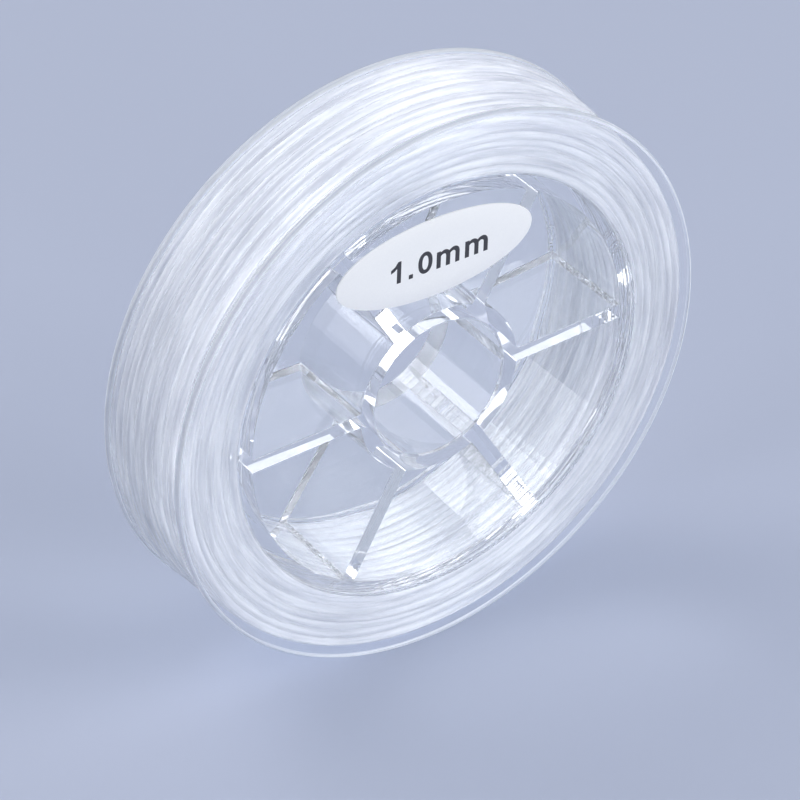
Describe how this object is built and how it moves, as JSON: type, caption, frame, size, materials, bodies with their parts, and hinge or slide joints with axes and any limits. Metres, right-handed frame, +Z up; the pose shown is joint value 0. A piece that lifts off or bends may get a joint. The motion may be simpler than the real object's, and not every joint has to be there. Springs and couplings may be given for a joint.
{
  "type": "fishing line spool",
  "caption": "Clear plastic spool of monofilament fishing line: thin flanges, a cored drum on spokes, a hub bore and an oval size sticker.",
  "frame": {"origin": "on the floor under the middle of the spool, which stands on its two rims", "axes": "+Z up, +Y along the axle line towards the rear flange (the one behind the web), -Y towards the face with the sticker, +X to the right as seen from the sticker's side"},
  "size_m": [0.064, 0.0138, 0.064],
  "materials": {
    "clear_moulding": "clear glossy moulded polystyrene",
    "line": "milky translucent nylon monofilament, glossy",
    "sticker": "satin white label stock with a dark grey print"
  },
  "bodies": {
    "root": {"front_flange": "clear_moulding", "rear_flange": "clear_moulding", "drum_wall": "clear_moulding", "hub_tube": "clear_moulding", "rear_web": "clear_moulding", "spoke_1": "clear_moulding", "spoke_2": "clear_moulding", "spoke_3": "clear_moulding", "spoke_4": "clear_moulding", "spoke_5": "clear_moulding", "spoke_6": "clear_moulding", "line_underlay": "line", "line_top_layer": "line", "size_sticker": "sticker"}
  },
  "joints": []
}
